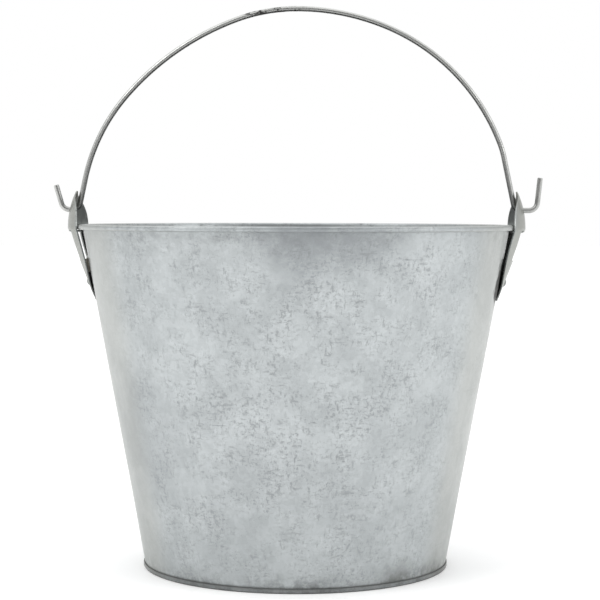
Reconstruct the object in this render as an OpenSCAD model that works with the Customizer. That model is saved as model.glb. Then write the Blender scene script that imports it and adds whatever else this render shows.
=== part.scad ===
// Galvanised florist bucket: a tapered steel pail with a wired rim, a seamed foot,
// two riveted ears and a swinging wire bail.
// Millimetres. +Z is up. The origin is the centre of the foot, and the ears lie on the X axis.

/* [Body] */
// Outside diameter over the rolled rim
rim_d = 230; // [220:1:240]
// Height of the body, from the foot to the top of the rim
body_h = 181; // [170:1:195]
// Outside diameter of the wall at the foot
foot_d = 159.8; // [150:0.1:166]
// Thickness of the body sheet
sheet_t = 0.5; // [0.4:0.05:0.6]
// Diameter of the rolled rim
bead_d = 2.8; // [2.6:0.1:3.4]
// Width of the folded seam down the back of the wall
lap_w = 5; // [4:0.5:8]

/* [Foot] */
// Height of the folded seam that joins the wall and the bottom
seam_h = 2.4; // [2.2:0.1:4]
// How far the bottom panel is raised above the foot
panel_lift = 3.6; // [3:0.1:8]

/* [Bail] */
// Wire diameter of the bail
wire_d = 2.9; // [2.5:0.1:3.2]
// Height of the pivot above the rim
pin_lift = 7.7; // [7.5:0.1:8.5]
// Radii of the bail's crown, shoulder and side on the left
left_radii = [92, 143, 98]; // [40:0.1:150]
// Radii of the bail's crown, shoulder and side on the right
right_radii = [124.5, 109.3, 50]; // [40:0.1:150]
// Lean of the left hook away from upright
left_lean = 16; // [0:1:25]
// Lean of the right hook away from upright
right_lean = 6; // [0:1:25]

/* [Ears] */
// Thickness of the ear sheet
ear_t = 0.8; // [0.6:0.1:1]
// Height of an ear's point above the pivot
point_lift = 10; // [9:0.5:11]
// Length of an ear below the rim
skirt_len = 37.5; // [34:0.5:40]
// Diameter of the hole that the bail turns in
pin_hole_d = 3.9; // [3.8:0.1:4.4]
// Diameter of a rivet's shank
rivet_d = 3.2; // [2.8:0.1:3.6]

/* [Hidden] */
$fn = 96;
eps = 0.05;

// Wall: outer radius at height z, from the foot up to the middle of the rolled rim
bead_r = bead_d / 2;
bead_z = body_h - bead_r;
bead_mid_r = rim_d / 2 - bead_r;
wall_foot_r = foot_d / 2;
wall_top_r = bead_mid_r - bead_r + sheet_t;
function wall_r(z) = wall_foot_r + (wall_top_r - wall_foot_r) * z / bead_z;

// Foot seam: two layers of sheet outside the wall
seam_r = wall_foot_r + 2 * sheet_t + eps;
hook_z = sheet_t + eps;

// Ear: outer surface x = ridge_x(z) - bow(z) * y^2, kinked where it meets the rim
rim_r = rim_d / 2;
pin_z = body_h + pin_lift;
rim_low_z = body_h - bead_d;
kink_z = rim_low_z + 0.6;
kink_x = rim_r + 6.4;
point_z = pin_z + point_lift;
tip_z = rim_low_z - skirt_len;
point_lean = 4.4;
skirt_slope = 0.385;
skirt_lean = atan(skirt_slope);
wide_z = rim_low_z - 3.3;
wide_half = 22;
side_arc = 21;
straight_z = wide_z + 18.8;
bow_z = rim_low_z - 18.2;
bow_min = 0.012;
bow_rise = 0.000008;
function ridge_x(z) = z > kink_z
    ? kink_x - point_lean * pow((z - kink_z) / (point_z - kink_z), 2.2)
    : kink_x - skirt_slope * (kink_z - z);
function bow(z) = bow_min + bow_rise * pow(max(0, z - bow_z), 2);
function arc_half(z) = wide_half - side_arc + sqrt(pow(side_arc, 2) - pow(z - wide_z, 2));
function half_width(z) = z > straight_z
    ? max(0.5, arc_half(straight_z) - 2 * (z - straight_z))
    : z > wide_z ? arc_half(z)
    : max(2.5, wide_half * cos(90 * pow((wide_z - z) / (wide_z - tip_z + 0.4), 1.3)));
function ear_x(y, z) = ridge_x(z) - bow(z) * y * y;
function ridge_grade(z) = (ridge_x(z + eps) - ridge_x(z - eps)) / (2 * eps);
function sheet_x(y, z) = ear_t * sqrt(1 + pow(2 * bow(z) * y, 2) + pow(ridge_grade(z), 2));

// Window and tongue of an ear
window_top = kink_z - 0.8;
window_bottom = rim_low_z - 16.2;
window_half_top = 14.5;
window_half_bottom = 11.5;
window_corner = 2;
tongue_half = 10;
tongue_in_x = rim_r - 1.6;

// Rivet: square to the slope of the ear's skirt
rivet_z = body_h - 30.8;
rivet_x = ridge_x(rivet_z);
head_d = 4.6;
head_h = 1.2;
tail_d = 5;
tail_h = 0.9;
boss_top_d = 8;
boss_base_d = 14;
wall_gap = (rivet_x - wall_r(rivet_z)) * cos(skirt_lean);
// the boss is flat and the ear is bowed: they touch along the boss's edge, not over its middle
boss_sag = bow_min * pow(boss_top_d / 2, 2) + eps;
boss_h = wall_gap - ear_t - boss_sag;
// how deep the boss is set into the wall, measured where its foot meets the cone
boss_root = 1.2;
punch_depth = 12;

// Bail: three arcs a side, straight arms, and hooks that keep it in the ears
left_ends = [20, 49, 78];
right_ends = [22.5, 68.5, 78];
top_z = pin_z + 106.2;
elbow_r = 4;
hook_r = 4.4;
hook_start_left = kink_x - 0.5;
hook_start_right = hook_start_left + 2.4;
hook_len_left = 10.2;
hook_len_right = 13.4;
function out_dir(a) = [sin(a), cos(a)];

// ---- body ----

module wall_section() {
    difference() {
        union() {
            polygon([
                [wall_r(hook_z) - sheet_t, hook_z], [wall_r(hook_z), hook_z],
                [wall_r(bead_z), bead_z], [wall_r(bead_z) - sheet_t, bead_z]
            ]);
            translate([bead_mid_r, bead_z]) circle(r = bead_r);
        }
        translate([bead_mid_r, bead_z]) circle(r = bead_r - sheet_t);
    }
    // the wall's lower edge, turned out and up inside the foot seam
    hem_out = seam_r - sheet_t - eps;
    polygon([
        [wall_r(hook_z) - sheet_t, hook_z], [hem_out, hook_z],
        [hem_out, seam_h - sheet_t - eps], [hem_out - sheet_t, seam_h - sheet_t - eps],
        [hem_out - sheet_t, hook_z + sheet_t], [wall_r(hook_z) - sheet_t, hook_z + sheet_t]
    ]);
}

module wall_lap() {
    lap_low = seam_h + 0.4;
    lap_high = bead_z - bead_r;
    lap_a = lap_w / wall_r(body_h / 2) * 180 / PI;
    lap_t = 1.2 * sheet_t;
    inset = sheet_t / 2;
    rotate([0, 0, 90 - lap_a / 2])
        rotate_extrude(angle = lap_a)
            polygon([
                [wall_r(lap_low) - inset, lap_low], [wall_r(lap_low) + lap_t, lap_low],
                [wall_r(lap_high) + lap_t, lap_high], [wall_r(lap_high) - inset, lap_high]
            ]);
}

// Places its children on an ear's rivet axis: local +Z points out of the ear
module on_rivet(side) {
    mirror([side < 0 ? 1 : 0, 0, 0])
        translate([rivet_x, 0, rivet_z])
            rotate([0, 90 + skirt_lean, 0])
                children();
}

// A dimple pressed out of the wall for the ear to seat on: shrink and drop give its inner face
module boss(shrink, drop) {
    boss_base = -wall_gap - boss_root;
    translate([0, 0, boss_base - drop])
        cylinder(d1 = boss_base_d - shrink, d2 = boss_top_d - shrink, h = boss_h + boss_root);
}

module body_wall() color("#b7bfc4") {
    difference() {
        union() {
            rotate_extrude() wall_section();
            wall_lap();
            for (side = [-1, 1]) on_rivet(side) boss(0, 0);
        }
        for (side = [-1, 1]) {
            on_rivet(side) boss(1.5 * sheet_t, sheet_t);
            on_rivet(side) translate([0, 0, -punch_depth]) cylinder(d = rivet_d, h = punch_depth);
        }
    }
}

module bottom_disc() color("#aab2b7") {
    inside = sheet_t + eps;
    skirt_r = wall_r(panel_lift) - inside;
    foot_in = wall_r(0) - inside;
    crimp = wall_r(seam_h) + eps;
    rotate_extrude() {
        // raised panel, and the skirt that follows the wall down to the foot
        polygon([
            [0, panel_lift], [skirt_r - sheet_t, panel_lift], [foot_in - sheet_t, 0],
            [seam_r, 0], [seam_r, sheet_t], [foot_in, sheet_t],
            [skirt_r + 0.1, panel_lift + sheet_t], [0, panel_lift + sheet_t]
        ]);
        // the edge, folded up round the wall's hem and crimped on to the wall
        polygon([
            [seam_r - sheet_t, 0], [seam_r, 0], [seam_r, seam_h], [crimp, seam_h],
            [crimp, seam_h - sheet_t], [seam_r - sheet_t, seam_h - sheet_t]
        ]);
    }
}

module rim_wire() color("#8d9498")
    rotate_extrude() translate([bead_mid_r, bead_z]) circle(r = bead_r - sheet_t - eps);

// ---- ears ----

// A bowed, kinked sheet: a grid of points over the ear's outline, given its thickness inwards
module ear_sheet() {
    cols = 12;
    low_rows = 9;
    high_rows = 9;
    rows = low_rows + high_rows;
    z_at = [for (j = [0:rows]) j <= low_rows
        ? tip_z + (kink_z - tip_z) * pow(j / low_rows, 0.9)
        : kink_z + (point_z - kink_z) * (1 - pow(1 - (j - low_rows) / high_rows, 1.3))];
    outer = [for (j = [0:rows]) for (i = [0:cols])
        let (z = z_at[j], y = half_width(z) * (2 * i / cols - 1)) [ear_x(y, z), y, z]];
    inner = [for (p = outer) [p[0] - sheet_x(p[1], p[2]), p[1], p[2]]];
    w = cols + 1;
    n = len(outer);
    quads = concat(
        [for (j = [0:rows - 1]) for (i = [0:cols - 1])
            [j * w + i, j * w + i + 1, (j + 1) * w + i + 1, (j + 1) * w + i]],
        [for (j = [0:rows - 1]) for (i = [0:cols - 1])
            [n + (j + 1) * w + i, n + (j + 1) * w + i + 1, n + j * w + i + 1, n + j * w + i]],
        [for (i = [0:cols - 1]) [n + i, n + i + 1, i + 1, i]],
        [for (i = [0:cols - 1]) [rows * w + i, rows * w + i + 1, n + rows * w + i + 1, n + rows * w + i]],
        [for (j = [0:rows - 1]) [j * w, (j + 1) * w, n + (j + 1) * w, n + j * w]],
        [for (j = [0:rows - 1]) [n + j * w + cols, n + (j + 1) * w + cols, (j + 1) * w + cols, j * w + cols]]
    );
    polyhedron(concat(outer, inner), [for (q = quads) each [[q[2], q[1], q[0]], [q[3], q[2], q[0]]]]);
}

module ear_window() {
    t = window_top;
    b = window_bottom;
    c = window_corner;
    translate([rim_r - 12, 0, 0]) rotate([90, 0, 90]) linear_extrude(24)
        polygon([
            [-window_half_top + c, t], [-window_half_top, t - c],
            [-window_half_bottom, b + c], [-window_half_bottom + c, b],
            [window_half_bottom - c, b], [window_half_bottom, b + c],
            [window_half_top, t - c], [window_half_top - c, t]
        ]);
}

// The flap cut from the window, bent in under the rolled rim so that the rim can't lift out
module ear_tongue() {
    steps = 6;
    edge = [for (i = [-steps:steps]) let (y = tongue_half * i / steps)
        [ear_x(y, rim_low_z) - ear_t / 2, y]];
    translate([0, 0, rim_low_z - ear_t - eps]) linear_extrude(ear_t)
        polygon(concat([[tongue_in_x, -tongue_half]], edge, [[tongue_in_x, tongue_half]]));
}

module ear() {
    difference() {
        union() {
            difference() {
                ear_sheet();
                ear_window();
            }
            ear_tongue();
        }
        translate([rim_r - 10, 0, pin_z]) rotate([0, 90, 0]) cylinder(d = pin_hole_d, h = 20);
        on_rivet(1) translate([0, 0, -3]) cylinder(d = rivet_d, h = 6);
    }
}

module ear_right() color("#c2c8ca") ear();

module ear_left() color("#c2c8ca") mirror([1, 0, 0]) ear();

// ---- rivets ----

module rivet(side) {
    // a round head whose dome is a cap of a sphere
    dome_r = (pow(head_d / 2, 2) + pow(head_h, 2)) / (2 * head_h);
    tail_z = -ear_t - boss_sag - sheet_t;
    on_rivet(side) {
        intersection() {
            translate([0, 0, head_h - dome_r]) sphere(r = dome_r);
            cylinder(d = head_d, h = head_h + 1);
        }
        translate([0, 0, tail_z - tail_h / 2]) cylinder(d = rivet_d, h = tail_h / 2 - tail_z + head_h / 2);
        translate([0, 0, tail_z - tail_h]) cylinder(d = tail_d, h = tail_h);
    }
}

module rivet_left() color("#9aa1a5") rivet(-1);

module rivet_right() color("#9aa1a5") rivet(1);

// ---- bail ----

// Part of a ring of wire about centre c, from angle a0 to a1 above the X axis
module wire_arc(c, r, a0, a1) {
    translate([c[0], 0, c[1]]) rotate([90, 0, 0]) rotate([0, 0, a0])
        rotate_extrude(angle = a1 - a0, $fn = 180)
            translate([r, 0]) circle(d = wire_d, $fn = 48);
}

// A straight of wire from p, leaning a degrees from upright
module wire_rod(p, a, length) {
    translate([p[0], 0, p[1]]) rotate([0, a, 0]) cylinder(d = wire_d, h = length);
}

// Where two lengths of the bail meet, so that they make one wire
module wire_weld(p) {
    translate([p[0], 0, p[1]]) sphere(d = wire_d + 0.04, $fn = 48);
}

// One side of the bail: the radius of each arc, the angle from upright it ends at, and the hook
module bail_side(radii, ends, hook_x, lean, hook_len) {
    crown_c = [0, top_z - radii[0]];
    shoulder_c = crown_c + (radii[0] - radii[1]) * out_dir(ends[0]);
    side_c = shoulder_c + (radii[1] - radii[2]) * out_dir(ends[1]);
    arm_top = side_c + radii[2] * out_dir(ends[2]);
    arm_low_z = pin_z + elbow_r * (1 - cos(ends[2]));
    arm_len = (arm_top[1] - arm_low_z) / sin(ends[2]);
    arm_low = arm_top + arm_len * [cos(ends[2]), -sin(ends[2])];
    elbow_c = arm_low + elbow_r * out_dir(ends[2]);
    hook_c = [hook_x, pin_z + hook_r];
    hook_end = hook_c + hook_r * [cos(lean), -sin(lean)];
    welds = [
        crown_c + radii[0] * out_dir(ends[0]), side_c + radii[2] * out_dir(ends[1]),
        arm_top, arm_low, [elbow_c[0], pin_z], [hook_x, pin_z], hook_end
    ];
    for (p = welds) wire_weld(p);
    wire_arc(crown_c, radii[0], 90 - ends[0], 90);
    wire_arc(shoulder_c, radii[1], 90 - ends[1], 90 - ends[0]);
    wire_arc(side_c, radii[2], 90 - ends[2], 90 - ends[1]);
    wire_rod(arm_low, ends[2] - 90, arm_len);
    wire_arc(elbow_c, elbow_r, 270 - ends[2], 270);
    wire_rod([elbow_c[0], pin_z], 90, hook_x - elbow_c[0]);
    wire_arc(hook_c, hook_r, 270, 360 - lean);
    wire_rod(hook_end, lean, hook_len);
}

module bail() color("#9ea5a9") {
    wire_weld([0, top_z]);
    bail_side(right_radii, right_ends, hook_start_right, right_lean, hook_len_right);
    mirror([1, 0, 0]) bail_side(left_radii, left_ends, hook_start_left, left_lean, hook_len_left);
}

body_wall();
bottom_disc();
rim_wire();
ear_left();
ear_right();
rivet_left();
rivet_right();
bail();
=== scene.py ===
# %% [markdown]
# # A galvanised florist bucket
# The bucket is a tapered pail of zinc-coated steel sheet. A rolled rim stiffens its mouth, a folded
# seam joins its bottom, two pressed ears are riveted to its sides, and a wire bail swings in them.
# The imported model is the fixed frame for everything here. Each cell below makes one piece or one
# finish, in metres, in that frame.

# %% Load the frame
import math
import random

import bmesh
import bpy
from mathutils import Matrix, Vector, geometry, noise


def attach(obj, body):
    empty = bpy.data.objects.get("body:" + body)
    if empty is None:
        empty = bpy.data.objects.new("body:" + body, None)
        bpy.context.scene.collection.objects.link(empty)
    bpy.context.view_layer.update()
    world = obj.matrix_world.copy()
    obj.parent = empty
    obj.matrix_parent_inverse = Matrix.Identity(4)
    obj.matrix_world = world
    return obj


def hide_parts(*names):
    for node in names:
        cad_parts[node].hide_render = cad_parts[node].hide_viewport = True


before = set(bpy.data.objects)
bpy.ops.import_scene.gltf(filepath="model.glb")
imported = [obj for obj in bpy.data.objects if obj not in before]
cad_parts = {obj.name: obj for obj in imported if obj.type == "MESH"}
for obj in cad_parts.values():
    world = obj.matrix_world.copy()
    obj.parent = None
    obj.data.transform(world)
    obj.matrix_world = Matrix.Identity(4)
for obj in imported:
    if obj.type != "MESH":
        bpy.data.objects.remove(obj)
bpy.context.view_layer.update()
scene = bpy.context.scene

# %% [markdown]
# ## Camera
# The bucket is seen from just above its rim, nearly square on, with a long lens. A long lens keeps
# the foot and the rim in the same proportion that the eye sees from across a room.

# %% Camera
TURN, LOOK_DOWN, ROLL = 1.6, 2.898, 0.132
STAND = (0.00216, -0.9575, 0.1893)
camera_data = bpy.data.cameras.new("camera")
camera_data.lens = 108.0
camera_data.sensor_width = 36.0
camera = bpy.data.objects.new("camera", camera_data)
scene.collection.objects.link(camera)
camera.matrix_world = (
    Matrix.Rotation(math.radians(TURN), 4, "Z")
    @ Matrix.Translation(STAND)
    @ Matrix.Rotation(math.radians(90 - LOOK_DOWN), 4, "X")
    @ Matrix.Rotation(math.radians(ROLL), 4, "Z")
)
scene.camera = camera
scene.view_settings.view_transform = "Standard"
print("camera at", [round(v, 4) for v in camera.matrix_world.translation])

# %% [markdown]
# ## Node helpers
# A material is a small network of nodes. `add_node` places one node, sets its options and joins or
# fills its sockets, so that each material below reads as a list of steps. `facing_out` measures how
# squarely a face looks away from an axis, which tells a sheet's outer face from its inner one.
# `new_group` makes a shader node group with named sockets: an effect built once, which several
# finishes use at their own values.

# %% Node helpers
def fill_sockets(tree, node, sockets):
    for name, value in sockets.items():
        socket = node.inputs[name]
        if isinstance(value, bpy.types.NodeSocket):
            tree.links.new(value, socket)
        else:
            socket.default_value = value


def add_node(tree, kind, sockets=None, **options):
    node = tree.nodes.new("ShaderNode" + kind)
    for name, value in options.items():
        setattr(node, name, value)
    fill_sockets(tree, node, sockets or {})
    return node


def mix_colour(tree, factor, first, second, mode="MIX"):
    node = add_node(tree, "Mix", {0: factor, 6: first, 7: second}, data_type="RGBA", blend_type=mode)
    return node.outputs[2]


def maths(tree, operation, first, second=0.0, clamp=False):
    node = add_node(tree, "Math", {0: first, 1: second}, operation=operation, use_clamp=clamp)
    return node.outputs[0]


def step_between(tree, value, low, high, out_low=0.0, out_high=1.0):
    sockets = {"Value": value, "From Min": low, "From Max": high, "To Min": out_low, "To Max": out_high}
    return add_node(tree, "MapRange", sockets, interpolation_type="SMOOTHSTEP").outputs[0]


def stretched_noise(tree, vector, scales, scale, detail=2.0, roughness=0.5, turn=0.0):
    mapping = add_node(tree, "Mapping", {"Vector": vector, "Scale": scales, "Rotation": (0.0, turn, 0.0)})
    sockets = {"Vector": mapping.outputs[0], "Scale": scale, "Detail": detail, "Roughness": roughness}
    return add_node(tree, "TexNoise", sockets).outputs[0]


def facing_out(tree, coords, kept_axes, shift=(0.0, 0.0, 0.0)):
    away = add_node(
        tree, "VectorMath", {0: coords.outputs["Object"], 1: kept_axes, 2: shift}, operation="MULTIPLY_ADD")
    away = add_node(tree, "VectorMath", {0: away.outputs[0]}, operation="NORMALIZE").outputs[0]
    facing = add_node(
        tree, "VectorMath", {0: away, 1: coords.outputs["Normal"]}, operation="DOT_PRODUCT")
    return facing.outputs["Value"]


def new_group(name, inputs, outputs):
    tree = bpy.data.node_groups.new(name, "ShaderNodeTree")
    for title, kind, value in inputs:
        socket = tree.interface.new_socket(title, in_out="INPUT", socket_type="NodeSocket" + kind)
        if value is not None:
            socket.default_value = value
    for title, kind in outputs:
        tree.interface.new_socket(title, in_out="OUTPUT", socket_type="NodeSocket" + kind)
    return tree, tree.nodes.new("NodeGroupInput"), tree.nodes.new("NodeGroupOutput")


def place_group(tree, group, **values):
    sockets = {name.replace("_", " "): value for name, value in values.items()}
    return add_node(tree, "Group", sockets, node_tree=group)


# %% [markdown]
# ## Effect: zinc bloom
# Hot-dipped zinc doesn't cool to one even grey. It sets in crystals a few millimetres across, and
# weather dulls each of them a little differently. Over the years the dull patches join into soft
# clouds. Two noises and a cell pattern, read in the bucket's own space, give that depth: the
# clouds shift the colour, and the crystals give the clouds their ragged edges.

# %% Zinc bloom group
zinc_bloom, inlet, outlet = new_group(
    "zinc_bloom",
    [("Vector", "Vector", None), ("Crystal Size", "Float", 380.0), ("Cloud Size", "Float", 42.0)],
    [("Cloud", "Float"), ("Crystal", "Float"), ("Height", "Float")],
)
warp = add_node(zinc_bloom, "TexNoise", {"Vector": inlet.outputs["Vector"], "Scale": 320.0, "Detail": 2.0})
bent = add_node(
    zinc_bloom, "VectorMath",
    {0: warp.outputs["Color"], 1: (0.004, 0.004, 0.004), 2: inlet.outputs["Vector"]},
    operation="MULTIPLY_ADD",
)
cells = add_node(
    zinc_bloom, "TexVoronoi", {"Vector": bent.outputs[0], "Scale": inlet.outputs["Crystal Size"]}
)
cell_tone = add_node(zinc_bloom, "SeparateColor", {0: cells.outputs["Color"]}).outputs[0]
soft_clouds = add_node(
    zinc_bloom, "TexNoise",
    {"Vector": inlet.outputs["Vector"], "Scale": inlet.outputs["Cloud Size"], "Detail": 4.0,
     "Roughness": 0.6},
).outputs[0]
zinc_bloom.links.new(step_between(zinc_bloom, soft_clouds, 0.34, 0.66), outlet.inputs["Cloud"])
zinc_bloom.links.new(cell_tone, outlet.inputs["Crystal"])
height = maths(zinc_bloom, "ADD", maths(zinc_bloom, "MULTIPLY", cell_tone, 0.35), soft_clouds)
zinc_bloom.links.new(height, outlet.inputs["Height"])
print("zinc_bloom:", len(zinc_bloom.nodes), "nodes")

# %% [markdown]
# ## Effect: dark and bright flecks
# Close to, the zinc is peppered with dark flecks about a millimetre long, where the coat is thin or
# has picked up dirt, and beside them lie bright ones, painted glints where a crystal's edge stands
# proud. They gather in loose clusters, some upright and some level, as the sheet was rolled, dipped
# and drained.
# Noise that is squeezed along one axis and then cut off high makes small dashes. Cut off low, the
# same noise gives the bright dashes, which therefore fall between the dark ones.

# %% Flecks group
zinc_flecks, inlet, outlet = new_group(
    "zinc_flecks",
    [("Vector", "Vector", None), ("Fineness", "Float", 1.0), ("Amount", "Float", 0.5)],
    [("Dark", "Float"), ("Bright", "Float")],
)
fleck_vector = add_node(
    zinc_flecks, "VectorMath",
    {0: inlet.outputs["Vector"], "Scale": inlet.outputs["Fineness"]}, operation="SCALE",
).outputs[0]
cluster = add_node(
    zinc_flecks, "TexNoise", {"Vector": fleck_vector, "Scale": 70.0, "Detail": 4.0, "Roughness": 0.65}
).outputs[0]
gathered = step_between(zinc_flecks, cluster, 0.4, 0.62, 0.12, 1.0)
cut = step_between(zinc_flecks, inlet.outputs["Amount"], 0.0, 1.0, 0.68, 0.5)
cut_top = maths(zinc_flecks, "ADD", cut, 0.1)
low_cut = maths(zinc_flecks, "SUBTRACT", 1.0, cut)
low_cut_end = maths(zinc_flecks, "SUBTRACT", low_cut, 0.1)
darks, brights = [], []
for scales, size in (((1.0, 1.0, 0.38), 620.0), ((0.4, 0.4, 1.15), 660.0), ((0.8, 0.8, 0.8), 1000.0)):
    speckle = stretched_noise(zinc_flecks, fleck_vector, scales, size, 3.0, 0.6)
    darks.append(step_between(zinc_flecks, speckle, cut, cut_top))
    brights.append(step_between(zinc_flecks, speckle, low_cut, low_cut_end))
for title, dashes in (("Dark", darks), ("Bright", brights)):
    joined = maths(zinc_flecks, "MAXIMUM", maths(zinc_flecks, "MAXIMUM", dashes[0], dashes[1]), dashes[2])
    zinc_flecks.links.new(maths(zinc_flecks, "MULTIPLY", joined, gathered), outlet.inputs[title])
print("zinc_flecks:", len(zinc_flecks.nodes), "nodes")

# %% [markdown]
# ## Effect: handling scratches
# A working bucket is dragged over benches and stacked in others, and most of its scratches run
# round it, a few degrees off level. Each is a very long, very thin streak of noise, kept only where a
# slow noise lets it show, so that no scratch goes all the way round.

# %% Scratches group
handling_scratches, inlet, outlet = new_group(
    "handling_scratches",
    [("Vector", "Vector", None), ("Amount", "Float", 0.5)],
    [("Mask", "Float")],
)
window_low = step_between(handling_scratches, inlet.outputs["Amount"], 0.0, 1.0, 0.72, 0.48)
window_high = maths(handling_scratches, "ADD", window_low, 0.1)
masks = []
for index, (turn, across) in enumerate(((0.05, 1100.0), (-0.07, 1500.0), (1.35, 1300.0))):
    line = stretched_noise(
        handling_scratches, inlet.outputs["Vector"], (0.014, 0.014, 1.0), across, 1.0, 0.4, turn)
    thin = step_between(handling_scratches, line, 0.70, 0.78)
    where = add_node(
        handling_scratches, "TexNoise",
        {"Vector": inlet.outputs["Vector"], "Scale": 38.0 + 11.0 * index, "Detail": 1.0}).outputs[0]
    shown = step_between(handling_scratches, where, window_low, window_high)
    masks.append(maths(handling_scratches, "MULTIPLY", thin, shown))
any_scratch = maths(handling_scratches, "MAXIMUM", masks[0], masks[1])
any_scratch = maths(handling_scratches, "MAXIMUM", any_scratch, masks[2])
handling_scratches.links.new(any_scratch, outlet.inputs["Mask"])
print("handling_scratches:", len(handling_scratches.nodes), "nodes")

# %% [markdown]
# ## Effect: crease grime and painted shade
# Dirt and damp collect where two sheets meet, above the foot seam and under the rim, and the same
# mask also paints the shade that falls in a crease. The mask is strongest at one height and fades
# away from it. A noise breaks its edge up, and `Evenness` closes it again, for the thin dark line of
# painted shade that sits right in a crease.

# %% Crease grime and shade group
crease_grime_and_shade, inlet, outlet = new_group(
    "crease_grime_and_shade",
    [("Vector", "Vector", None), ("Height", "Float", 0.0025), ("Reach", "Float", 0.01),
     ("Evenness", "Float", 0.0)],
    [("Mask", "Float")],
)
level = add_node(crease_grime_and_shade, "SeparateXYZ", {0: inlet.outputs["Vector"]}).outputs[2]
gap = maths(crease_grime_and_shade, "ABSOLUTE", maths(crease_grime_and_shade, "SUBTRACT", level, inlet.outputs["Height"]))
near = maths(crease_grime_and_shade, "SUBTRACT", 1.0, maths(crease_grime_and_shade, "DIVIDE", gap, inlet.outputs["Reach"]), True)
ragged = add_node(
    crease_grime_and_shade, "TexNoise",
    {"Vector": inlet.outputs["Vector"], "Scale": 230.0, "Detail": 6.0, "Roughness": 0.72}).outputs[0]
broad = add_node(crease_grime_and_shade, "TexNoise", {"Vector": inlet.outputs["Vector"], "Scale": 22.0}).outputs[0]
dirt = maths(crease_grime_and_shade, "MULTIPLY", step_between(crease_grime_and_shade, ragged, 0.36, 0.62),
             step_between(crease_grime_and_shade, broad, 0.35, 0.6, 0.35, 1.0))
dirt = maths(crease_grime_and_shade, "MAXIMUM", dirt, inlet.outputs["Evenness"])
dirt = maths(crease_grime_and_shade, "MULTIPLY", dirt, maths(crease_grime_and_shade, "POWER", near, 1.5))
crease_grime_and_shade.links.new(dirt, outlet.inputs["Mask"])
print("crease_grime_and_shade:", len(crease_grime_and_shade.nodes), "nodes")

# %% [markdown]
# ## Effect: soft patch
# Some marks belong to one place: tarnish where a hand has held the sheet, painted shadow beside an
# ear, wear round a hole. A patch is the distance from one point, cut off softly, with its edge stirred
# by noise.

# %% Soft patch group
soft_patch, inlet, outlet = new_group(
    "soft_patch",
    [("Vector", "Vector", None), ("Centre", "Vector", None), ("Radius", "Float", 0.02),
     ("Core", "Float", 0.5)],
    [("Mask", "Float")],
)
away = add_node(
    soft_patch, "VectorMath", {0: inlet.outputs["Vector"], 1: inlet.outputs["Centre"]},
    operation="DISTANCE").outputs["Value"]
share = maths(soft_patch, "DIVIDE", away, inlet.outputs["Radius"])
stir = add_node(
    soft_patch, "TexNoise", {"Vector": inlet.outputs["Vector"], "Scale": 130.0, "Detail": 5.0}).outputs[0]
share = maths(soft_patch, "ADD", share, step_between(soft_patch, stir, 0.0, 1.0, -0.3, 0.3))
fade = step_between(soft_patch, share, inlet.outputs["Core"], 1.0, 1.0, 0.0)
soft_patch.links.new(fade, outlet.inputs["Mask"])
print("soft_patch:", len(soft_patch.nodes), "nodes")

# %% [markdown]
# ## Finish: galvanised sheet
# Weathered zinc is a dull metal with a faint blue-green cast. It reflects as a metal does, softly
# face on and nearly like a mirror along its edges, where a thin hard skin of oxide takes over. The
# Principled shader does the first with its metallic base and the second with its coat. The five
# effects above shift the colour, the roughness and the height. Seen at a slant the colour is made
# creamier, a painted sheen, and the flecks fade, which the Layer Weight node measures. Masks made from
# the way each face looks keep a patch to the sheet's outer or inner face, and paint shade on the inner
# faces below the rim.

# %% Galvanised finish
METAL, BUMP = 0.78, 0.12
GRIME_AND_SHADE = (0.05, 0.052, 0.048)
PAINTED_EAR_SHADOW = (0.012, 0.012, 0.011)
EAR_INNER_SHADE = (0.02, 0.02, 0.019)
INTERIOR_SHADE_AND_OXIDE = (0.10, 0.105, 0.105)


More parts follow.
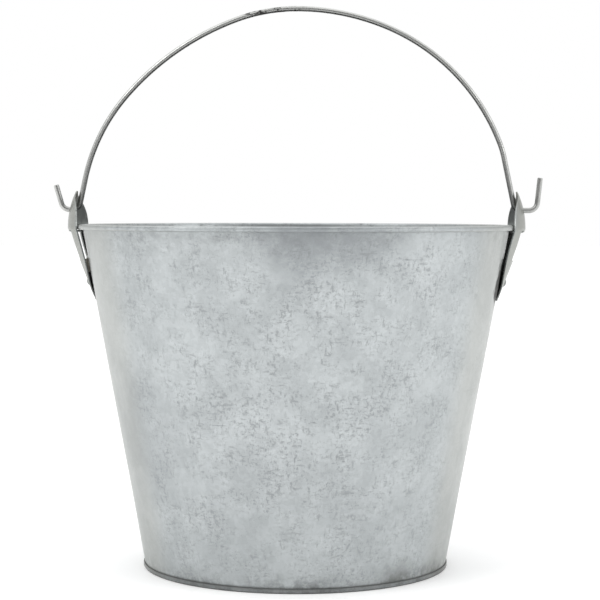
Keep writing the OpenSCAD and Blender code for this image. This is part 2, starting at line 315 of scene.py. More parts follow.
def galvanised(name, light, dark, rough=0.4, coat=0.25, flecks=0.58, scratches=0.45, creases=(),
               outer_patches=(), inner_patches=(), pair_patches=(), inside=0.0, inner_shade=0.0):
    material = bpy.data.materials.new(name)
    material.use_nodes = True
    tree = material.node_tree
    shader = tree.nodes["Principled BSDF"]
    coords = add_node(tree, "TexCoord")
    place = coords.outputs["Object"]
    axes = add_node(tree, "SeparateXYZ", {0: place}).outputs
    facing = facing_out(tree, coords, (1.0, 1.0, 0.0))
    outer = step_between(tree, facing, -0.1, 0.2)
    inner = step_between(tree, facing, -0.25, -0.6)
    bloom = place_group(tree, zinc_bloom, Vector=place)
    fleck = place_group(tree, zinc_flecks, Vector=place, Amount=flecks)
    scratch = place_group(tree, handling_scratches, Vector=place, Amount=scratches).outputs["Mask"]
    tone = mix_colour(tree, bloom.outputs["Cloud"], (*dark, 1.0), (*light, 1.0))
    facet = step_between(tree, bloom.outputs["Crystal"], 0.0, 1.0, 0.96, 1.04)
    tone = mix_colour(tree, 1.0, tone, facet, "MULTIPLY")
    slant = add_node(tree, "LayerWeight", {"Blend": 0.5}).outputs["Facing"]
    slant = step_between(tree, slant, 0.45, 0.66)
    seen = step_between(tree, slant, 0.0, 1.0, 1.0, 0.2)
    fleck_tone = tuple(0.42 * channel for channel in dark)
    dark_flecks = maths(tree, "MULTIPLY", fleck.outputs["Dark"], seen)
    tone = mix_colour(tree, maths(tree, "MULTIPLY", dark_flecks, 0.4), tone, (*fleck_tone, 1.0))
    # the bright flecks are painted glints of proud crystal edges
    glint = tuple(1.2 * channel for channel in light)
    tone = mix_colour(tree, maths(tree, "MULTIPLY", fleck.outputs["Bright"], 0.38), tone, (*glint, 1.0))
    tone = mix_colour(tree, maths(tree, "MULTIPLY", scratch, 0.4), tone, (*fleck_tone, 1.0))
    # painted sheen: the colour turns creamier where the sheet is seen at a slant
    grazing_sheen = (0.98 * light[0], 0.94 * light[1], 0.88 * light[2], 1.0)
    tone = mix_colour(tree, maths(tree, "MULTIPLY", slant, 0.55), tone, grazing_sheen)
    dull = dark_flecks
    for height, reach, evenness, strength in creases:
        crease = place_group(tree, crease_grime_and_shade, Vector=place, Height=height, Reach=reach,
                             Evenness=evenness).outputs["Mask"]
        crease = maths(tree, "MULTIPLY", crease, strength)
        tone = mix_colour(tree, crease, tone, (*GRIME_AND_SHADE, 1.0))
        dull = maths(tree, "MAXIMUM", dull, crease)
    # painted shade on inner faces below the rim: near-black on the ears, dim grey with a dull oxide inside
    # the bucket
    for amount, low, high, colour in ((inner_shade, 0.1775, 0.1815, EAR_INNER_SHADE), (inside, 0.1776, 0.1786, INTERIOR_SHADE_AND_OXIDE)):
        if amount:
            shade_below_rim = maths(tree, "MULTIPLY", inner, step_between(tree, axes[2], high, low))
            shade_below_rim = maths(tree, "MULTIPLY", shade_below_rim, amount)
            tone = mix_colour(tree, shade_below_rim, tone, (*colour, 1.0))
            dull = maths(tree, "MAXIMUM", dull, shade_below_rim)
    marks = [(place, outer, *patch) for patch in outer_patches]
    marks += [(place, inner, *patch) for patch in inner_patches]
    if pair_patches:
        both_sides = {0: maths(tree, "ABSOLUTE", axes[0]), 1: axes[1], 2: axes[2]}
        mirrored = add_node(tree, "CombineXYZ", both_sides).outputs[0]
        marks += [(mirrored, inner, *patch) for patch in pair_patches]
    for vector, side, centre, radius, core, strength, colour in marks:
        patch = place_group(tree, soft_patch, Vector=vector, Centre=centre, Radius=radius,
                            Core=core).outputs["Mask"]
        patch = maths(tree, "MULTIPLY", maths(tree, "MULTIPLY", patch, side), strength)
        tone = mix_colour(tree, patch, tone, (*colour, 1.0))
        dull = maths(tree, "MAXIMUM", dull, patch)
    tree.links.new(tone, shader.inputs["Base Color"])
    roughness = step_between(tree, bloom.outputs["Cloud"], 0.0, 1.0, rough + 0.05, rough - 0.05)
    roughness = maths(tree, "ADD", roughness, maths(tree, "MULTIPLY", dull, 0.45), True)
    tree.links.new(roughness, shader.inputs["Roughness"])
    tree.links.new(step_between(tree, dull, 0.0, 1.0, METAL, 0.1 * METAL), shader.inputs["Metallic"])
    tree.links.new(step_between(tree, dull, 0.1, 0.9, coat, 0.1 * coat), shader.inputs["Coat Weight"])
    shader.inputs["Coat Roughness"].default_value = 0.12
    shader.inputs["Coat IOR"].default_value = 1.45
    shader.inputs["Specular Tint"].default_value = (0.72, 0.73, 0.72, 1.0)
    relief = maths(tree, "SUBTRACT", maths(tree, "MULTIPLY", bloom.outputs["Height"], 0.5),
                   fleck.outputs["Dark"])
    relief = maths(tree, "SUBTRACT", relief, maths(tree, "MULTIPLY", scratch, 0.7))
    dents = add_node(tree, "Bump", {"Strength": BUMP, "Distance": 0.00012, "Height": relief})
    tree.links.new(dents.outputs[0], shader.inputs["Normal"])
    return material


# %% [markdown]
# ## Where the marks lie
# The wall, the ears and the bottom are one zinc at three stages of wear. The wall is the lightest,
# with tarnish under its rim and grime at its foot. The ears are duller, above all where the bail
# rubs in them, and the bottom's seam, which stands on the ground, is the darkest. Light and shade are
# painted in as well: dark lines of painted shade in the seam's creases and a dark reflection line on
# the bead, painted shadow on the wall beside the ears, painted shade on the ears' inner faces and,
# with a dull oxide, inside the bucket, and a painted lit patch on the left ear's inner face. A crease
# is given as its height, reach, evenness and strength. A patch is given as its centre, radius, core,
# strength and colour, and lies on the outer face, on the inner face, or on both ears' inner faces as a
# pair.

# %% Sheet finishes
ZINC_LIGHT = (0.44, 0.466, 0.473)
ZINC_DARK = (0.395, 0.419, 0.426)
TARNISH = (0.19, 0.205, 0.22)
FOOT_DIRT = (0.13, 0.135, 0.125)
BROWN_TINT = (0.28, 0.2, 0.13)
PAINTED_LIT_CREAM = (0.62, 0.56, 0.47)
body_finish = galvanised(
    # inside paints shade, with a dull oxide, on the bucket's inner face below the rim
    "body_sheet", ZINC_LIGHT, ZINC_DARK, inside=0.8,
    # a painted shade line in the gap above the foot seam, grime above the foot, a painted dark reflection
    # line on the bead, and a darker band under the rim
    creases=((0.0024, 0.0013, 0.9, 0.95), (0.0026, 0.010, 0.0, 0.6), (0.1802, 0.0005, 0.6, 0.5),
             (0.176, 0.016, 0.2, 0.2)),
    outer_patches=(
        ((0.004, -0.113, 0.178), 0.036, 0.0, 0.42, TARNISH),
        ((0.036, -0.107, 0.178), 0.030, 0.0, 0.34, TARNISH),
        ((-0.075, -0.05, 0.075), 0.055, 0.1, 0.2, TARNISH),
        ((0.052, -0.060, 0.0), 0.019, 0.0, 0.6, FOOT_DIRT),
        ((0.071, -0.038, 0.0), 0.016, 0.0, 0.5, FOOT_DIRT),
        # a small brown tint on the wall beside the left ear
        ((-0.1085, -0.014, 0.1625), 0.006, 0.2, 0.7, BROWN_TINT),
        # painted shadow and dark reflection on the wall beside each ear, where the ear's shade falls
        ((0.1035, -0.016, 0.1515), 0.0155, 0.6, 0.95, PAINTED_EAR_SHADOW),
        ((0.107, 0.0, 0.151), 0.018, 0.6, 0.97, PAINTED_EAR_SHADOW),
        ((-0.1065, 0.0, 0.1465), 0.0135, 0.6, 0.97, PAINTED_EAR_SHADOW),
    ),
)
bottom_finish = galvanised(
    "bottom_sheet", (0.26, 0.275, 0.275), (0.18, 0.19, 0.192), rough=0.45, coat=0.35,
    # painted shade lines at the bottom edge and in the seam's gap at its top, and dirt across the seam band
    creases=((0.0, 0.0009, 0.9, 0.95), (0.0024, 0.0008, 0.8, 0.9), (0.0012, 0.002, 0.2, 0.5)))
ear_finish = galvanised(
    "ear_sheet", (0.345, 0.36, 0.35), (0.27, 0.283, 0.276), rough=0.36, flecks=0.55, scratches=0.4,
    # the ears' inner faces below the rim are painted near-black as shade
    coat=0.2, inner_shade=0.97,
    # a cream patch of painted light on the left ear's inner face, where it is lit past the front edge
    inner_patches=(((-0.1118, 0.0105, 0.158), 0.009, 0.6, 0.95, PAINTED_LIT_CREAM),),
    pair_patches=(
        ((0.1175, 0.0, 0.1975), 0.0075, 0.3, 0.85, (0.10, 0.092, 0.068)),
        ((0.1190, 0.0, 0.1887), 0.0062, 0.45, 0.8, (0.07, 0.066, 0.055)),
    ))
print("finishes:", [m.name for m in (body_finish, bottom_finish, ear_finish)])

# %% [markdown]
# ## Finish: bail wire
# The bail is plain steel wire with a thin zinc coat. The inside of its arch, turned away from the light,
# is painted darker as shade. At the crown, where it hangs on hooks, the coat has flaked off and left
# dark scale. A noise places the flakes, allowed only left of the middle and from one height up, which
# is where the crown begins. The rivets and the wire in the rim have the same finish without flakes.

# %% Wire finish
def drawn_wire(name, light, dark, rough=0.3, inner_side_shade=0.0, flakes=None):
    material = bpy.data.materials.new(name)
    material.use_nodes = True
    tree = material.node_tree
    shader = tree.nodes["Principled BSDF"]
    coords = add_node(tree, "TexCoord")
    place = coords.outputs["Object"]
    bloom = place_group(tree, zinc_bloom, Vector=place, Cloud_Size=120.0, Crystal_Size=700.0)
    fleck = place_group(tree, zinc_flecks, Vector=place, Amount=0.4, Fineness=1.2).outputs["Dark"]
    tone = mix_colour(tree, bloom.outputs["Cloud"], (*dark, 1.0), (*light, 1.0))
    tone = mix_colour(tree, maths(tree, "MULTIPLY", fleck, 0.3), tone, (0.12, 0.12, 0.115, 1.0))
    if inner_side_shade:
        # the arch's inside faces an axis over the middle of the mouth, 0.2 m up
        facing = facing_out(tree, coords, (1.0, 0.0, 1.0), (0.0, 0.0, -0.2))
        inner = step_between(tree, facing, 0.45, -0.35)
        # painted shade on the inside of the arch
        shade = tuple(0.42 * channel for channel in dark)
        tone = mix_colour(tree, maths(tree, "MULTIPLY", inner, inner_side_shade), tone, (*shade, 1.0))
    roughness = step_between(tree, bloom.outputs["Cloud"], 0.0, 1.0, rough + 0.12, rough - 0.04)
    pits = fleck
    shader.inputs["Metallic"].default_value = 0.95
    if flakes:
        axes = add_node(tree, "SeparateXYZ", {0: place}).outputs
        crown = maths(tree, "MULTIPLY", step_between(tree, axes[2], *flakes),
                      step_between(tree, axes[0], 0.004, -0.001))
        scale = stretched_noise(tree, place, (0.55, 1.2, 1.0), 330.0, 4.0, 0.65)
        flaked = maths(tree, "MULTIPLY", step_between(tree, scale, 0.47, 0.52), crown)
        tone = mix_colour(tree, flaked, tone, (0.018, 0.017, 0.016, 1.0))
        roughness = maths(tree, "ADD", roughness, maths(tree, "MULTIPLY", flaked, 0.35), True)
        pits = maths(tree, "ADD", fleck, flaked)
        tree.links.new(step_between(tree, flaked, 0.0, 1.0, 0.95, 0.15), shader.inputs["Metallic"])
    tree.links.new(tone, shader.inputs["Base Color"])
    tree.links.new(roughness, shader.inputs["Roughness"])
    relief = maths(tree, "SUBTRACT", bloom.outputs["Height"], pits)
    dents = add_node(tree, "Bump", {"Strength": 0.2, "Distance": 0.0001, "Height": relief})
    tree.links.new(dents.outputs[0], shader.inputs["Normal"])
    return material


bail_finish = drawn_wire(
    "bail_wire", (0.47, 0.475, 0.46), (0.40, 0.405, 0.395), inner_side_shade=0.5, flakes=(0.2900, 0.2925))
rivet_finish = drawn_wire("rivet", (0.27, 0.28, 0.272), (0.16, 0.165, 0.16), rough=0.38)
rim_wire_finish = drawn_wire("rim_wire", (0.36, 0.37, 0.37), (0.24, 0.25, 0.25), rough=0.45)
print("wire finishes:", [m.name for m in (bail_finish, rivet_finish, rim_wire_finish)])

# %% [markdown]
# ## Sheet by section
# The wall and the bottom are both sheet that was spun or rolled round one axis, so both are made as
# a section turned about Z. The section is drawn as the middle line of the sheet, and `thicken` gives
# it the sheet's two faces, with round folds where the line bends. `turn_section` sweeps it round and
# lets a small function move each point, which is how seams, bosses and dents come in.

# %% Section helpers
MM = 0.001
SHEET = 0.5 * MM
print("sheet:", round(SHEET / MM, 2), "mm thick")


def fillet(points, radius, steps=4):
    rounded = [points[0]]
    for before, corner, after in zip(points, points[1:], points[2:]):
        corner, before, after = Vector(corner), Vector(before), Vector(after)
        into, out = (before - corner), (after - corner)
        cut = min(radius, 0.45 * into.length, 0.45 * out.length)
        start, end = corner + into.normalized() * cut, corner + out.normalized() * cut
        for step in range(steps + 1):
            t = step / steps
            rounded.append(tuple((1 - t) ** 2 * start + 2 * t * (1 - t) * corner + t * t * end))
    rounded.append(points[-1])
    return rounded


def thicken(line):
    left, right = [], []
    count = len(line)
    for index, point in enumerate(line):
        ahead = Vector(line[min(index + 1, count - 1)]) - Vector(line[max(index - 1, 0)])
        side = Vector((-ahead.y, ahead.x)).normalized() * SHEET / 2
        left.append(Vector(point) + side)
        right.append(Vector(point) - side)
    return [(p.x, p.y, 1) for p in left] + [(p.x, p.y, -1) for p in reversed(right)]


def mesh_object(name, bm, finish, smooth_angle=35.0):
    bmesh.ops.remove_doubles(bm, verts=bm.verts, dist=1e-7)
    bmesh.ops.recalc_face_normals(bm, faces=bm.faces)
    mesh = bpy.data.meshes.new(name)
    bm.to_mesh(mesh)
    bm.free()
    mesh.materials.append(finish)
    mesh.polygons.foreach_set("use_smooth", [True] * len(mesh.polygons))
    mesh.set_sharp_from_angle(angle=math.radians(smooth_angle))
    piece = bpy.data.objects.new(name, mesh)
    scene.collection.objects.link(piece)
    print(name, "faces:", len(mesh.polygons))
    return piece


def turn_section(name, section, angles, finish, move):
    bm = bmesh.new()
    rings = []
    for angle in angles:
        ring = []
        for radius, height, face in section:
            point = Vector((radius * math.cos(angle), radius * math.sin(angle), height))
            ring.append(bm.verts.new(move(point, face)))
        rings.append(ring)
    for ring, following in zip(rings, rings[1:] + rings[:1]):
        for row in range(len(section)):
            below = (row + 1) % len(section)
            if section[row][0] < 1e-9 and section[below][0] < 1e-9:
                continue
            bm.faces.new([ring[row], ring[below], following[below], following[row]])
    return mesh_object(name, bm, finish)


# %% [markdown]
# ## The wall
# One sheet makes the wall. Its lower edge is turned out and up inside the foot seam, and its upper
# edge is curled out and down round a wire, with the cut edge tucked in underneath. The curl is left a
# little open, as rolling leaves it. The ends of the sheet meet in a flattened lock seam down the back,
# and under each ear a boss is pressed out for the rivet. Sheet this thin is never quite true, so the
# wall also carries shallow waves of about a tenth of a millimetre, and one small dent low on the
# right, which show only in reflections.

# %% Wall surface
RIM_R, BODY_H, BEAD_R = 115.0 * MM, 181.0 * MM, 1.4 * MM
BEAD_Z, BEAD_MID = BODY_H - BEAD_R, RIM_R - BEAD_R
FOOT_R = 79.9 * MM
WALL_TOP_R = BEAD_MID - BEAD_R + SHEET
SEAM_R = FOOT_R + 2 * SHEET + 0.05 * MM
SEAM_H = 2.4 * MM
SKIRT_SLOPE = 0.385
SKIRT_LEAN = math.atan(SKIRT_SLOPE)
# where the ear is kinked and where its rivet is, in millimetres like all of the ear
KINK_X, KINK_Z, RIVET_Z = 121.4, 178.8, 150.2
RIVET = Vector((KINK_X - SKIRT_SLOPE * (KINK_Z - RIVET_Z), 0.0, RIVET_Z)) * MM
RIVET_OUT = Vector((math.cos(SKIRT_LEAN), 0.0, -math.sin(SKIRT_LEAN)))
EAR_T, BOSS_SAG = 0.8 * MM, 0.242 * MM
DENT, DENT_R, DENT_DEPTH = Vector((79.8, -37.2, 45.0)) * MM, 11 * MM, 0.22 * MM


def wall_radius(height):
    return FOOT_R + (WALL_TOP_R - FOOT_R) * height / BEAD_Z


def angle_from_back(angle):
    return abs(math.remainder(angle - math.pi / 2, 2 * math.pi))


def smooth_ramp(value, low, high):
    t = min(max((value - low) / (high - low), 0.0), 1.0)
    return t * t * (3 - 2 * t)


chance = random.Random(11)
waves = [
    (chance.randint(2, 11), chance.uniform(0.6, 3.4), chance.uniform(0, 6.28), chance.uniform(0, 6.28))
    for _ in range(14)
]


def wall_shape(point, face):
    radius = math.hypot(point.x, point.y)
    angle = math.atan2(point.y, point.x)
    height = point.z
    # shallow waves, none at the foot or the rim
    calm = smooth_ramp(height, 4 * MM, 30 * MM) * (1 - smooth_ramp(height, 150 * MM, 176 * MM))
    swell = sum(
        math.sin(turns * angle + start) * math.sin(rise * math.pi * height / BODY_H + tilt) / turns ** 0.5
        for turns, rise, start, tilt in waves
    )
    shift = 0.05 * MM * swell * calm
    # the lock seam stands out at the back, and rises out of the wall over a millimetre at its ends
    from_seam = angle_from_back(angle) * wall_radius(height)
    seam_half = 2.5 * MM * wall_radius(height) / wall_radius(BODY_H / 2)
    lap = 1 - smooth_ramp(from_seam, seam_half - 0.25 * MM, seam_half)
    lap *= smooth_ramp(height, 2.8 * MM, 4 * MM) * (1 - smooth_ramp(height, 176.8 * MM, 178 * MM))
    if face > 0 and radius < wall_radius(height) + 0.3 * MM:
        shift += 0.58 * MM * lap
    # the dent
    shift -= DENT_DEPTH * (1 - smooth_ramp((point - DENT).length, 0.0, DENT_R))
    scale = (radius + shift) / radius
    moved = Vector((point.x * scale, point.y * scale, height))
    # a boss under each ear, pressed out square to the rivet
    side = 1 if point.x > 0 else -1
    local = Vector((side * moved.x, moved.y, moved.z)) - RIVET
    depth = local.dot(RIVET_OUT)
    across = (local - RIVET_OUT * depth).length
    if across < 7 * MM and abs(depth) < 12 * MM:
        target = -EAR_T - BOSS_SAG - (0.0 if face > 0 else SHEET)
        press = (1 - smooth_ramp(across, 3.9 * MM, 7 * MM)) * (target - depth)
        local += RIVET_OUT * press
        moved = Vector((side * (local.x + RIVET.x), local.y, local.z + RIVET.z))
    return moved


# %% Wall
hem_in = SEAM_R - SHEET - 0.05 * MM - SHEET / 2
wall_line = [
    (hem_in, SEAM_H - SHEET - 0.05 * MM), (hem_in, 0.8 * MM),
    (wall_radius(0.8 * MM) - SHEET / 2, 0.8 * MM), (wall_radius(4 * MM) - SHEET / 2, 4 * MM),
]
wall_line = fillet(wall_line, 0.3 * MM)
# rows every 1.5 mm, and twice as close over the bosses
heights = [4 + 1.5 * i for i in range(1, 92)] + [142 + 0.75 * i for i in range(24)]
heights += [160 + 1.5 * i for i in range(13)]
wall_line += [(wall_radius(h * MM) - SHEET / 2, h * MM) for h in heights]
curl_r = BEAD_R - SHEET / 2 - 0.015 * MM
curl = [math.radians(180 - 300 * i / 30) for i in range(31)]
wall_line += [(BEAD_MID + curl_r * math.cos(a), BEAD_Z + curl_r * math.sin(a)) for a in curl]

# even steps round the wall, but closer ones over the two edges of the lock seam
even_angles = [2 * math.pi * i / 480 for i in range(480)]
seam_edges = [d / wall_radius(BODY_H / 2) * MM for d in (-2.7, -2.5, -2.38, -2.25, 2.25, 2.38, 2.5, 2.7)]
wall_angles = [a for a in even_angles if not 0.022 <= angle_from_back(a) <= 0.029]
wall_angles = sorted(wall_angles + [math.pi / 2 + d for d in seam_edges])
wall = turn_section("bucket_wall", thicken(wall_line), wall_angles, body_finish, wall_shape)
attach(wall, "bucket")
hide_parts("body_wall")

# %% [markdown]
# ## The bottom
# The bottom is a second sheet. Its panel is raised, with a pressed ring to stiffen it. Its edge
# follows the wall down to the foot, turns out, and is folded up round the wall's hem and crimped on to
# the wall. That fold is the narrow band at the foot. The seaming rollers leave it slightly uneven.

# %% Bottom
PANEL_Z = 3.6 * MM + SHEET / 2
crimp_z = SEAM_H - SHEET / 2
skirt_top = wall_radius(3.6 * MM) - 2 * SHEET
bottom_line = [
    (0.0, PANEL_Z), (40 * MM, PANEL_Z), (52 * MM, PANEL_Z), (54 * MM, PANEL_Z + 0.5 * MM),
    (58 * MM, PANEL_Z + 0.5 * MM), (60 * MM, PANEL_Z), (skirt_top, PANEL_Z),
    (wall_radius(0) - SHEET * 1.7, SHEET / 2), (SEAM_R - SHEET / 2, SHEET / 2),
    (SEAM_R - SHEET / 2, crimp_z), (wall_radius(crimp_z) + 0.1 * MM, crimp_z + 0.02 * MM),
]
bottom_line = fillet(bottom_line, 0.45 * MM, 5)


def seam_roll(point, face):
    radius, angle = math.hypot(point.x, point.y), math.atan2(point.y, point.x)
    if radius < SEAM_R - 1.2 * MM:
        return point
    uneven = noise.noise(Vector((math.cos(angle), math.sin(angle), 0.0)) * 9.0)
    shift = -0.06 * MM * abs(uneven) * smooth_ramp(point.z, 0.3 * MM, 1.2 * MM)
    return Vector((point.x * (1 + shift / radius), point.y * (1 + shift / radius), point.z))


bottom = turn_section("bucket_bottom", thicken(bottom_line), even_angles, bottom_finish, seam_roll)
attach(bottom, "bucket")
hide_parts("bottom_disc")

# %% [markdown]
# ## The rim wire
# The wire inside the curl is hardly seen, and its shape in the frame is already right, so the frame's
# own object stays and only gets its finish.

# %% Rim wire
rim_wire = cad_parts["rim_wire"]
rim_wire.data.materials.clear()
rim_wire.data.materials.append(rim_wire_finish)
print("rim wire:", rim_wire.name, "keeps its", len(rim_wire.data.polygons), "faces")

# %% [markdown]
# ## The ears
# Each ear is cut from thicker sheet as a pointed shield, bowed across, kinked where it meets the rim,
# and riveted through its lower end. A window is cut below the kink, and its flap is bent in under the
# rim. The outline, the window and the two holes are drawn flat as loops. Delaunay triangulation
# fills between them with evenly spaced points, each point is lifted on to the bowed surface, and a
# Solidify and a small Bevel give the sheet its thickness and its burred edges.

# %% Ear surface
POINT_Z, TIP_Z, WIDE_Z, HALF_W = 198.7, 140.7, 174.9, 22.0
PIN_Z, PIN_HOLE_R, RIVET_HOLE_R = 188.7, 1.95, 1.6


def ridge_x(z):
    if z > KINK_Z:
        return KINK_X - 4.4 * ((z - KINK_Z) / (POINT_Z - KINK_Z)) ** 2.2
    return KINK_X - SKIRT_SLOPE * (KINK_Z - z)


def ear_x(y, z):
    return ridge_x(z) - (0.012 + 0.000008 * max(0.0, z - 160.0) ** 2) * y * y


def shoulder_arc(z):
    return 1 + math.sqrt((HALF_W - 1) ** 2 - (z - WIDE_Z) ** 2)


def half_width(z):
    straight = WIDE_Z + 18.8
    if z > straight:
        return max(0.5, shoulder_arc(straight) - 2 * (z - straight))
    if z > WIDE_Z:
        return shoulder_arc(z)
    fall = ((WIDE_Z - z) / (WIDE_Z - TIP_Z + 0.4)) ** 1.3
    return max(2.5, HALF_W * math.cos(math.pi / 2 * fall))


def ring_points(z, radius):
    turns = [2 * math.pi * i / 28 for i in range(28)]
    return [(radius * math.cos(turn), z + radius * math.sin(turn)) for turn in turns]


def densify(loop, spacing):
    dense = []
    for (y0, z0), (y1, z1) in zip(loop, loop[1:] + loop[:1]):
        count = max(1, round(math.hypot(y1 - y0, z1 - z0) / spacing))
        dense += [(y0 + (y1 - y0) * i / count, z0 + (z1 - z0) * i / count) for i in range(count)]
    return dense


def inside(loop, y, z):
    hit = False
    for (y0, z0), (y1, z1) in zip(loop, loop[1:] + loop[:1]):
        if (z0 > z) != (z1 > z) and y < (y1 - y0) * (z - z0) / (z1 - z0) + y0:
            hit = not hit
    return hit


levels = [TIP_Z + (POINT_Z - TIP_Z) * i / 110 for i in range(111)]
outline = [(half_width(z), z) for z in levels] + [(-half_width(z), z) for z in reversed(levels)]
window = [(-14.5, 178.0), (-11.5, 162.0), (11.5, 162.0), (14.5, 178.0)]
window = fillet([window[-1]] + window + [window[0]], 2.2, 6)[1:-1]
window = densify([p for i, p in enumerate(window) if p not in window[:i]], 0.7)
pin_hole, rivet_hole = ring_points(PIN_Z, PIN_HOLE_R), ring_points(RIVET_Z, RIVET_HOLE_R)
print("ear outline:", len(outline), "window:", len(window), "points")

# %% Ear blank
def ear_blank():
    spacing = 0.8
    loops = [outline, window, pin_hole, rivet_hole]
    points, edges = [], []
    for loop in loops:
        start = len(points)
        points += [Vector(p) for p in loop]
        edges += [(start + i, start + (i + 1) % len(loop)) for i in range(len(loop))]
    edge_points = list(points)
    rows = int((POINT_Z - TIP_Z) / spacing)
    for row in range(1, rows):
        z = TIP_Z + row * spacing + 0.05
        for column in range(-30, 31):
            y = (column + 0.5 * (row % 2)) * spacing
            if abs(y) > half_width(z) - 0.45 or any(inside(loop, y, z) for loop in loops[1:]):
                continue
            if min((p.x - y) ** 2 + (p.y - z) ** 2 for p in edge_points) > 0.12:
                points.append(Vector((y, z)))
    found, _, faces, *_ = geometry.delaunay_2d_cdt(points, edges, [], 1, 1e-5)
    kept = []
    for face in faces:
        y = sum(found[i].x for i in face) / len(face)
        z = sum(found[i].y for i in face) / len(face)
        if inside(outline, y, z) and not any(inside(loop, y, z) for loop in loops[1:]):
            kept.append(face)
    return found, kept


blank_points, blank_faces = ear_blank()
print("ear blank:", len(blank_points), "points", len(blank_faces), "faces")

# %% Ear pieces
FLAP_Z, FLAP_HALF, FLAP_END_X = 178.1, 10.0, 113.4


def make_ear(name, side):
    bm = bmesh.new()
    verts = [bm.verts.new((side * ear_x(p.x, p.y) * MM, p.x * MM, p.y * MM)) for p in blank_points]
    for face in blank_faces:
        bm.faces.new([verts[i] for i in face])
    bmesh.ops.delete(bm, geom=[v for v in bm.verts if not v.link_faces], context="VERTS")
    # the flap, bent in under the rim
    flap_rows = []
    bend = [math.radians(15 * i) for i in range(7)]
    for i in range(-12, 13):
        y = FLAP_HALF * i / 12
        root = ear_x(y, FLAP_Z) - 0.45
        path = [(root - (1 - math.cos(a)), FLAP_Z - 0.35 * (1 - math.cos(a))) for a in bend]
        path += [(root - 1 - (root - 1 - FLAP_END_X) * j / 8, FLAP_Z - 0.35) for j in range(1, 9)]
        flap_rows.append([bm.verts.new((side * x * MM, y * MM, z * MM)) for x, z in path])
    for row, following in zip(flap_rows, flap_rows[1:]):
        for j in range(len(row) - 1):
            bm.faces.new([row[j], row[j + 1], following[j + 1], following[j]])
    bmesh.ops.recalc_face_normals(bm, faces=bm.faces)
    sample = max(bm.faces, key=lambda f: side * f.calc_center_median().x)
    if sample.normal.x * side < 0:
        bmesh.ops.reverse_faces(bm, faces=bm.faces)
    mesh = bpy.data.meshes.new(name)
    bm.to_mesh(mesh)
    bm.free()
    mesh.materials.append(ear_finish)
    piece = bpy.data.objects.new(name, mesh)
    scene.collection.objects.link(piece)
    solid = piece.modifiers.new("sheet", "SOLIDIFY")
    solid.thickness = EAR_T
    solid.offset = -1.0
    solid.use_even_offset = True
    burr = piece.modifiers.new("burr", "BEVEL")
    burr.width = 0.12 * MM
    burr.segments = 2
    burr.limit_method = "ANGLE"
    burr.angle_limit = math.radians(55)
    graph = bpy.context.evaluated_depsgraph_get()
    final = bpy.data.meshes.new_from_object(piece.evaluated_get(graph))
    piece.modifiers.clear()
    piece.data = final
    final.polygons.foreach_set("use_smooth", [True] * len(final.polygons))
    final.set_sharp_from_angle(angle=math.radians(38))
    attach(piece, "bucket")
    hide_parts(name)
    print(name, "faces:", len(final.polygons))


make_ear("ear_left", -1)
make_ear("ear_right", 1)

# %% [markdown]
# ## The rivets
# A round-headed rivet holds each ear. Its head is a low dome with a struck flat, its shank goes
# through the ear and the boss, and its tail is upset inside into a flat button with a swollen edge.
# Each is a section turned about its own axis and then laid square to the skirt of the ear.

# %% Rivets
HEAD_R, HEAD_H, SHANK_R = 2.3, 1.2, 1.58


def make_rivet(name, side):
    dome_r = (HEAD_R ** 2 + HEAD_H ** 2) / (2 * HEAD_H)
    dome = []
    for i in range(9):
        radius = 0.5 + 1.8 * i / 8
        dome.append((radius, HEAD_H - 0.04 - dome_r + math.sqrt(dome_r ** 2 - radius ** 2)))
    # the shank goes through the ear, the gap left by its bow, and the boss
    tail_z = -(EAR_T + BOSS_SAG + SHEET) / MM
    profile = [(0.0, HEAD_H - 0.1)] + dome
    profile += [(HEAD_R - 0.02, -0.02), (SHANK_R, -0.02), (SHANK_R, tail_z)]
    profile += [(2.3, tail_z), (2.48, tail_z - 0.2), (2.5, tail_z - 0.5), (2.3, tail_z - 0.78),
                (1.6, tail_z - 0.88), (0.0, tail_z - 0.9)]
    bm = bmesh.new()
    rings = []
    for step in range(48):
        angle = 2 * math.pi * step / 48
        rings.append([bm.verts.new((r * MM * math.cos(angle), r * MM * math.sin(angle), z * MM))
                      for r, z in profile])
    for ring, following in zip(rings, rings[1:] + rings[:1]):
        for j in range(len(profile) - 1):
            corners = [ring[j], ring[j + 1], following[j + 1], following[j]]
            if j == 0:
                corners = [ring[0], ring[1], following[1]]
            elif j == len(profile) - 2:
                corners = [ring[j], ring[j + 1], following[j]]
            bm.faces.new(corners)
    lay = Matrix.Rotation(math.pi / 2 + SKIRT_LEAN, 4, "Y")
    bmesh.ops.transform(bm, matrix=Matrix.Translation(RIVET) @ lay, verts=bm.verts)
    if side < 0:
        bmesh.ops.transform(bm, matrix=Matrix.Scale(-1, 4, (1, 0, 0)), verts=bm.verts)
    piece = mesh_object(name, bm, rivet_finish, 40.0)
    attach(piece, "bucket")
    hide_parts(name)


make_rivet("rivet_left", -1)
make_rivet("rivet_right", 1)

# %% [markdown]
# ## The bail
# The bail is one length of wire, bent to an arch, with straight arms, a tight elbow at each ear and an
# upturned hook outside it that keeps the arm in its hole. Years of lifting have pulled the arch out of
# true, so its right shoulder is fuller than its left. The path is a chain of arcs and straights that
# meet without a corner, its arch sampled about every millimetre, and a ring of points is carried along
# it. The wire was sheared, so its ends are flat with a slightly rounded edge.

# %% Bail path
WIRE_R, CROWN_H, ARM_TILT, ELBOW_R, HOOK_R = 1.42, 106.2, 78, 4.0, 4.4
RIGHT_ARCS = ((124.5, 22.5), (109.3, 68.5), (50, ARM_TILT))
LEFT_ARCS = ((92, 20), (143, 49), (98, ARM_TILT))
RIGHT_HOOK_X, LEFT_HOOK_X = KINK_X + 1.9, KINK_X - 0.5


def out_dir(degrees):
    return Vector((math.sin(math.radians(degrees)), math.cos(math.radians(degrees))))


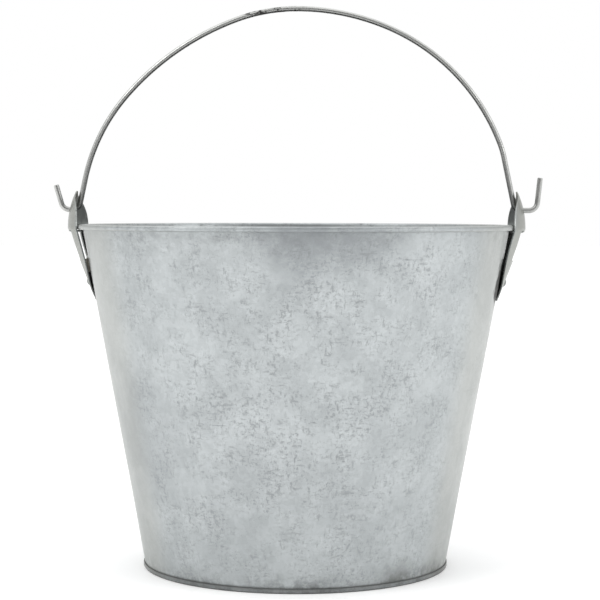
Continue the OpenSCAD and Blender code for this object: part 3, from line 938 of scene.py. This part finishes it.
def arc_points(centre, radius, start, end):
    count = max(3, round(abs(math.radians(end - start)) * radius))
    return [centre + radius * out_dir(start + (end - start) * i / count) for i in range(count + 1)]


def down_dir(degrees):
    return Vector((math.sin(math.radians(degrees)), -math.cos(math.radians(degrees))))


def bail_half(arcs, hook_x, lean, hook_length):
    (crown_r, crown_end), (shoulder_r, shoulder_end), (side_r, side_end) = arcs
    crown_c = Vector((0.0, PIN_Z + CROWN_H - crown_r))
    shoulder_c = crown_c + (crown_r - shoulder_r) * out_dir(crown_end)
    side_c = shoulder_c + (shoulder_r - side_r) * out_dir(shoulder_end)
    arm_top = side_c + side_r * out_dir(side_end)
    low_z = PIN_Z + ELBOW_R * (1 - math.cos(math.radians(ARM_TILT)))
    arm_length = (arm_top.y - low_z) / math.sin(math.radians(ARM_TILT))
    arm_low = arm_top + arm_length * down_dir(90 - ARM_TILT)
    elbow_c = arm_low + ELBOW_R * out_dir(ARM_TILT)
    path = arc_points(crown_c, crown_r, 0, crown_end)
    path += arc_points(shoulder_c, shoulder_r, crown_end, shoulder_end)[1:]
    path += arc_points(side_c, side_r, shoulder_end, side_end)[1:]
    path += [arm_top.lerp(arm_low, i / 12) for i in range(1, 13)]
    path += [elbow_c + ELBOW_R * down_dir(-ARM_TILT * (8 - i) / 8) for i in range(1, 9)]
    hook_c = Vector((hook_x, PIN_Z + HOOK_R))
    straight = hook_x - elbow_c.x
    path += [Vector((elbow_c.x + straight * i / 5, PIN_Z)) for i in range(1, 6)]
    path += [hook_c + HOOK_R * down_dir((90 - lean) * i / 10) for i in range(1, 11)]
    end = path[-1]
    path += [end + out_dir(lean) * hook_length * i / 10 for i in range(1, 11)]
    return path


right_half = bail_half(RIGHT_ARCS, RIGHT_HOOK_X, lean=6, hook_length=13.4)
left_half = [Vector((-p.x, p.y)) for p in bail_half(LEFT_ARCS, LEFT_HOOK_X, lean=16, hook_length=10.2)]
wire_path = list(reversed(left_half)) + right_half[1:]
length = sum((b - a).length for a, b in zip(wire_path, wire_path[1:]))
print("bail wire length:", round(length, 1), "mm")

# %% Bail
bm = bmesh.new()
rings = []
last = len(wire_path) - 1
# each station is a point of the path, a shift along it and a share of the wire's radius
stations = [(0, 0.0, 0.78), (0, 0.22, 0.97)] + [(i, 0.0, 1.0) for i in range(1, last)]
stations += [(last, -0.22, 0.97), (last, 0.0, 0.78)]
for index, slide, swell in stations:
    here = wire_path[index]
    along = (wire_path[min(index + 1, last)] - wire_path[max(index - 1, 0)]).normalized()
    here = here + along * slide
    across = Vector((-along.y, along.x))
    ring = []
    for step in range(32):
        angle = 2 * math.pi * step / 32
        offset = across * (WIRE_R * swell * math.cos(angle))
        ring.append(bm.verts.new(Vector((
            here.x + offset.x, WIRE_R * swell * math.sin(angle), here.y + offset.y)) * MM))
    rings.append(ring)
for ring, following in zip(rings, rings[1:]):
    for step in range(32):
        after = (step + 1) % 32
        bm.faces.new([ring[step], ring[after], following[after], following[step]])
bm.faces.new(list(reversed(rings[0])))
bm.faces.new(rings[-1])
bail = mesh_object("bail_wire", bm, bail_finish, 45.0)
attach(bail, "bail")
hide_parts("bail")

# %% [markdown]
# ## Floor and light
# The floor is plain and pale. The light is a soft white room: bright behind and above, a little
# dimmer in front, so that the rounded wall is lightest at its edges and darker towards its middle.

# %% Floor
bm = bmesh.new()
bmesh.ops.create_grid(bm, x_segments=1, y_segments=1, size=8.0)
floor_mesh = bpy.data.meshes.new("floor")
bm.to_mesh(floor_mesh)
bm.free()
floor = bpy.data.objects.new("floor", floor_mesh)
scene.collection.objects.link(floor)
floor_finish = bpy.data.materials.new("floor")
floor_finish.use_nodes = True
floor_shader = floor_finish.node_tree.nodes["Principled BSDF"]
floor_shader.inputs["Base Color"].default_value = (0.97, 0.97, 0.97, 1.0)
floor_shader.inputs["Roughness"].default_value = 0.9
floor_mesh.materials.append(floor_finish)
print("floor:", round(floor.dimensions.x, 2), "m across")

# %% Light
room = bpy.data.worlds.new("white_room")
scene.world = room
room.use_nodes = True
tree = room.node_tree
direction = add_node(tree, "TexCoord").outputs["Generated"]
parts = add_node(tree, "SeparateXYZ", {0: direction})
behind = step_between(tree, parts.outputs[1], -0.95, -0.1, 0.3, 1.0)
overhead = step_between(tree, parts.outputs[2], 0.35, 0.95, 0.0, 0.65)
to_light = tree.nodes["Background"]
tree.links.new(maths(tree, "ADD", behind, overhead), to_light.inputs["Strength"])
to_light.inputs["Color"].default_value = (1.0, 1.0, 1.0, 1.0)
seen = add_node(tree, "Background", {"Color": (1.0, 1.0, 1.0, 1.0), "Strength": 1.0})
is_camera = add_node(tree, "LightPath").outputs["Is Camera Ray"]
choice = add_node(tree, "MixShader", {0: is_camera, 1: to_light.outputs[0], 2: seen.outputs[0]})
tree.links.new(choice.outputs[0], tree.nodes["World Output"].inputs["Surface"])


def soft_box(name, place, aim, width, height, power):
    data = bpy.data.lights.new(name, "AREA")
    data.shape = "RECTANGLE"
    data.size, data.size_y, data.energy = width, height, power
    lamp = bpy.data.objects.new(name, data)
    scene.collection.objects.link(lamp)
    lamp.location = place
    lamp.rotation_euler = (Vector(aim) - Vector(place)).to_track_quat("-Z", "Y").to_euler()


soft_box("key_box", (-1.1, -0.9, 1.3), (0, 0, 0.1), 0.9, 0.9, 9.0)
soft_box("fill_box", (1.3, -0.7, 0.8), (0, 0, 0.1), 0.8, 0.8, 5.0)
